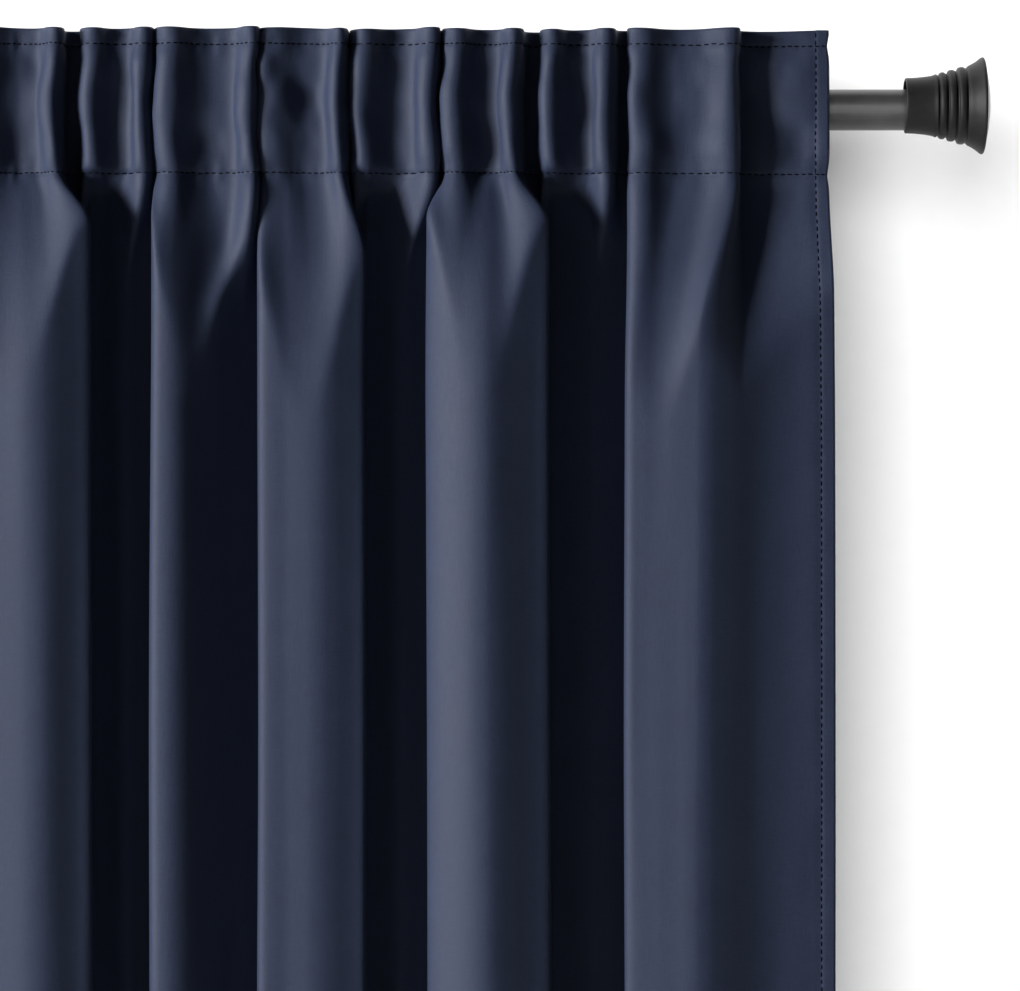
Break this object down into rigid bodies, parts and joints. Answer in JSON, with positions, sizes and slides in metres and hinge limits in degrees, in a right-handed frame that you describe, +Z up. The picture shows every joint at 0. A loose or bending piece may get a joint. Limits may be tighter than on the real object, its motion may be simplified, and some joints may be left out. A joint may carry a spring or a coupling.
{
  "type": "window curtain pair on a rod",
  "caption": "Pair of navy back-tab curtain panels gathered on a telescoping metal rod with trumpet finials, held by adjustable wall brackets.",
  "frame": {"origin": "centre of the centre bracket's wall plate, on the face that lies against the wall", "axes": "+X along the rod to the viewer's right, +Y into the wall, +Z up"},
  "size_m": [1.6386, 0.1688, 2.134],
  "materials": {
    "navy_cloth": "satin-faced blackout weave",
    "gunmetal_tube": "satin gunmetal lacquer",
    "black_enamel": "semi-gloss black",
    "cap_metal": "satin",
    "black_bracket": "satin powder coat",
    "screw_steel": "blackened steel"
  },
  "bodies": {
    "wall_brackets": {"left_wall_plate": "black_bracket", "left_arm_socket": "black_bracket", "centre_wall_plate": "black_bracket", "centre_arm_socket": "black_bracket", "right_wall_plate": "black_bracket", "right_arm_socket": "black_bracket"},
    "centre_arm": {"centre_bracket_arm": "black_bracket"},
    "centre_arm_screw": {"centre_arm_lock_screw": "screw_steel"},
    "centre_rod_screw": {"centre_rod_lock_screw": "screw_steel"},
    "left_arm": {"left_bracket_arm": "black_bracket"},
    "left_arm_screw": {"left_arm_lock_screw": "screw_steel"},
    "left_rod_screw": {"left_rod_lock_screw": "screw_steel"},
    "right_arm": {"right_bracket_arm": "black_bracket"},
    "right_arm_screw": {"right_arm_lock_screw": "screw_steel"},
    "right_rod_screw": {"right_rod_lock_screw": "screw_steel"},
    "rod": {"outer_rod_tube": "gunmetal_tube", "right_panel_cloth_1": "navy_cloth", "right_back_tab_1": "navy_cloth", "right_back_tab_2": "navy_cloth", "left_panel_cloth_1": "navy_cloth", "left_back_tab_1": "navy_cloth", "left_back_tab_2": "navy_cloth"},
    "inner_rod": {"inner_rod_tube": "gunmetal_tube"},
    "left_finial": {"left_finial_body": "black_enamel", "left_finial_cap": "cap_metal"},
    "left_set_screw": {"left_finial_set_screw": "screw_steel"},
    "left_tab_3": {"left_back_tab_3": "navy_cloth", "left_panel_cloth_2": "navy_cloth"},
    "left_tab_4": {"left_back_tab_4": "navy_cloth", "left_panel_cloth_3": "navy_cloth"},
    "left_tab_5": {"left_back_tab_5": "navy_cloth", "left_panel_cloth_4": "navy_cloth"},
    "left_tab_6": {"left_back_tab_6": "navy_cloth", "left_panel_cloth_5": "navy_cloth"},
    "left_lead": {"left_back_tab_7": "navy_cloth", "left_panel_cloth_6": "navy_cloth"},
    "right_finial": {"right_finial_body": "black_enamel", "right_finial_cap": "cap_metal"},
    "right_set_screw": {"right_finial_set_screw": "screw_steel"},
    "right_tab_3": {"right_back_tab_3": "navy_cloth", "right_panel_cloth_2": "navy_cloth"},
    "right_tab_4": {"right_back_tab_4": "navy_cloth", "right_panel_cloth_3": "navy_cloth"},
    "right_tab_5": {"right_back_tab_5": "navy_cloth", "right_panel_cloth_4": "navy_cloth"},
    "right_tab_6": {"right_back_tab_6": "navy_cloth", "right_panel_cloth_5": "navy_cloth"},
    "right_lead": {"right_back_tab_7": "navy_cloth", "right_panel_cloth_6": "navy_cloth"}
  },
  "joints": [
    {"name": "bracket_projection", "type": "slide", "parent": "wall_brackets", "child": "centre_arm", "axis": [0, -1, 0], "range_m": [0, 0.038]},
    {"name": "left_bracket_projection", "type": "slide", "parent": "wall_brackets", "child": "left_arm", "axis": [0, -1, 0], "range_m": [0, 0.038]},
    {"name": "right_bracket_projection", "type": "slide", "parent": "wall_brackets", "child": "right_arm", "axis": [0, -1, 0], "range_m": [0, 0.038]},
    {"name": "rod_lift_off", "type": "slide", "parent": "centre_arm", "child": "rod", "axis": [0, 0, 1], "range_m": [0, 0.04]},
    {"name": "rod_extend", "type": "slide", "parent": "rod", "child": "inner_rod", "axis": [1, 0, 0], "range_m": [-0.04, 0.4]},
    {"name": "right_finial_pull_off", "type": "slide", "parent": "inner_rod", "child": "right_finial", "axis": [1, 0, 0], "range_m": [0, 0.06]},
    {"name": "left_finial_pull_off", "type": "slide", "parent": "rod", "child": "left_finial", "axis": [-1, 0, 0], "range_m": [0, 0.06]},
    {"name": "right_panel_draw", "type": "slide", "parent": "rod", "child": "right_lead", "axis": [1, 0, 0], "range_m": [0, 0.26], "deforming": ["right_panel_cloth_1", "right_panel_cloth_2", "right_panel_cloth_3", "right_panel_cloth_4", "right_panel_cloth_5", "right_panel_cloth_6"]},
    {"name": "right_tab_3_slide", "type": "slide", "parent": "rod", "child": "right_tab_3", "axis": [1, 0, 0], "range_m": [0, 0.0291]},
    {"name": "right_tab_4_slide", "type": "slide", "parent": "rod", "child": "right_tab_4", "axis": [1, 0, 0], "range_m": [0, 0.0946]},
    {"name": "right_tab_5_slide", "type": "slide", "parent": "rod", "child": "right_tab_5", "axis": [1, 0, 0], "range_m": [0, 0.1701]},
    {"name": "right_tab_6_slide", "type": "slide", "parent": "rod", "child": "right_tab_6", "axis": [1, 0, 0], "range_m": [0, 0.2352]},
    {"name": "left_panel_draw", "type": "slide", "parent": "rod", "child": "left_lead", "axis": [-1, 0, 0], "range_m": [0, 0.26], "deforming": ["left_panel_cloth_1", "left_panel_cloth_2", "left_panel_cloth_3", "left_panel_cloth_4", "left_panel_cloth_5", "left_panel_cloth_6"]},
    {"name": "left_tab_3_slide", "type": "slide", "parent": "rod", "child": "left_tab_3", "axis": [-1, 0, 0], "range_m": [0, 0.0341]},
    {"name": "left_tab_4_slide", "type": "slide", "parent": "rod", "child": "left_tab_4", "axis": [-1, 0, 0], "range_m": [0, 0.1045]},
    {"name": "left_tab_5_slide", "type": "slide", "parent": "rod", "child": "left_tab_5", "axis": [-1, 0, 0], "range_m": [0, 0.1756]},
    {"name": "left_tab_6_slide", "type": "slide", "parent": "rod", "child": "left_tab_6", "axis": [-1, 0, 0], "range_m": [0, 0.235]},
    {"name": "centre_arm_screw_turn", "type": "hinge", "parent": "wall_brackets", "child": "centre_arm_screw", "pos_m": [0, -0.054, -0.008], "axis": [0, 0, -1], "range_deg": [0, 720]},
    {"name": "centre_rod_screw_turn", "type": "hinge", "parent": "centre_arm", "child": "centre_rod_screw", "pos_m": [0, -0.095, 0.024], "axis": [0, -0.7071, -0.7071], "range_deg": [0, 720]},
    {"name": "left_arm_screw_turn", "type": "hinge", "parent": "wall_brackets", "child": "left_arm_screw", "pos_m": [-0.64, -0.054, -0.008], "axis": [0, 0, -1], "range_deg": [0, 720]},
    {"name": "left_rod_screw_turn", "type": "hinge", "parent": "left_arm", "child": "left_rod_screw", "pos_m": [-0.64, -0.095, 0.024], "axis": [0, -0.7071, -0.7071], "range_deg": [0, 720]},
    {"name": "right_arm_screw_turn", "type": "hinge", "parent": "wall_brackets", "child": "right_arm_screw", "pos_m": [0.64, -0.054, -0.008], "axis": [0, 0, -1], "range_deg": [0, 720]},
    {"name": "right_rod_screw_turn", "type": "hinge", "parent": "right_arm", "child": "right_rod_screw", "pos_m": [0.64, -0.095, 0.024], "axis": [0, -0.7071, -0.7071], "range_deg": [0, 720]},
    {"name": "left_set_screw_turn", "type": "hinge", "parent": "left_finial", "child": "left_set_screw", "pos_m": [-0.7758, -0.095, 0.041], "axis": [0, 0, 1], "range_deg": [0, 720]},
    {"name": "right_set_screw_turn", "type": "hinge", "parent": "right_finial", "child": "right_set_screw", "pos_m": [0.7758, -0.095, 0.041], "axis": [0, 0, 1], "range_deg": [0, 720]}
  ],
  "couplings": [
    {"joint": "left_bracket_projection", "follows": "bracket_projection", "ratio": 1},
    {"joint": "right_bracket_projection", "follows": "bracket_projection", "ratio": 1},
    {"joint": "right_tab_3_slide", "follows": "right_panel_draw", "ratio": 0.1099},
    {"joint": "right_tab_4_slide", "follows": "right_panel_draw", "ratio": 0.3618},
    {"joint": "right_tab_5_slide", "follows": "right_panel_draw", "ratio": 0.6524},
    {"joint": "right_tab_6_slide", "follows": "right_panel_draw", "ratio": 0.9026},
    {"joint": "left_tab_3_slide", "follows": "left_panel_draw", "ratio": 0.1293},
    {"joint": "left_tab_4_slide", "follows": "left_panel_draw", "ratio": 0.4001},
    {"joint": "left_tab_5_slide", "follows": "left_panel_draw", "ratio": 0.6735},
    {"joint": "left_tab_6_slide", "follows": "left_panel_draw", "ratio": 0.902}
  ]
}
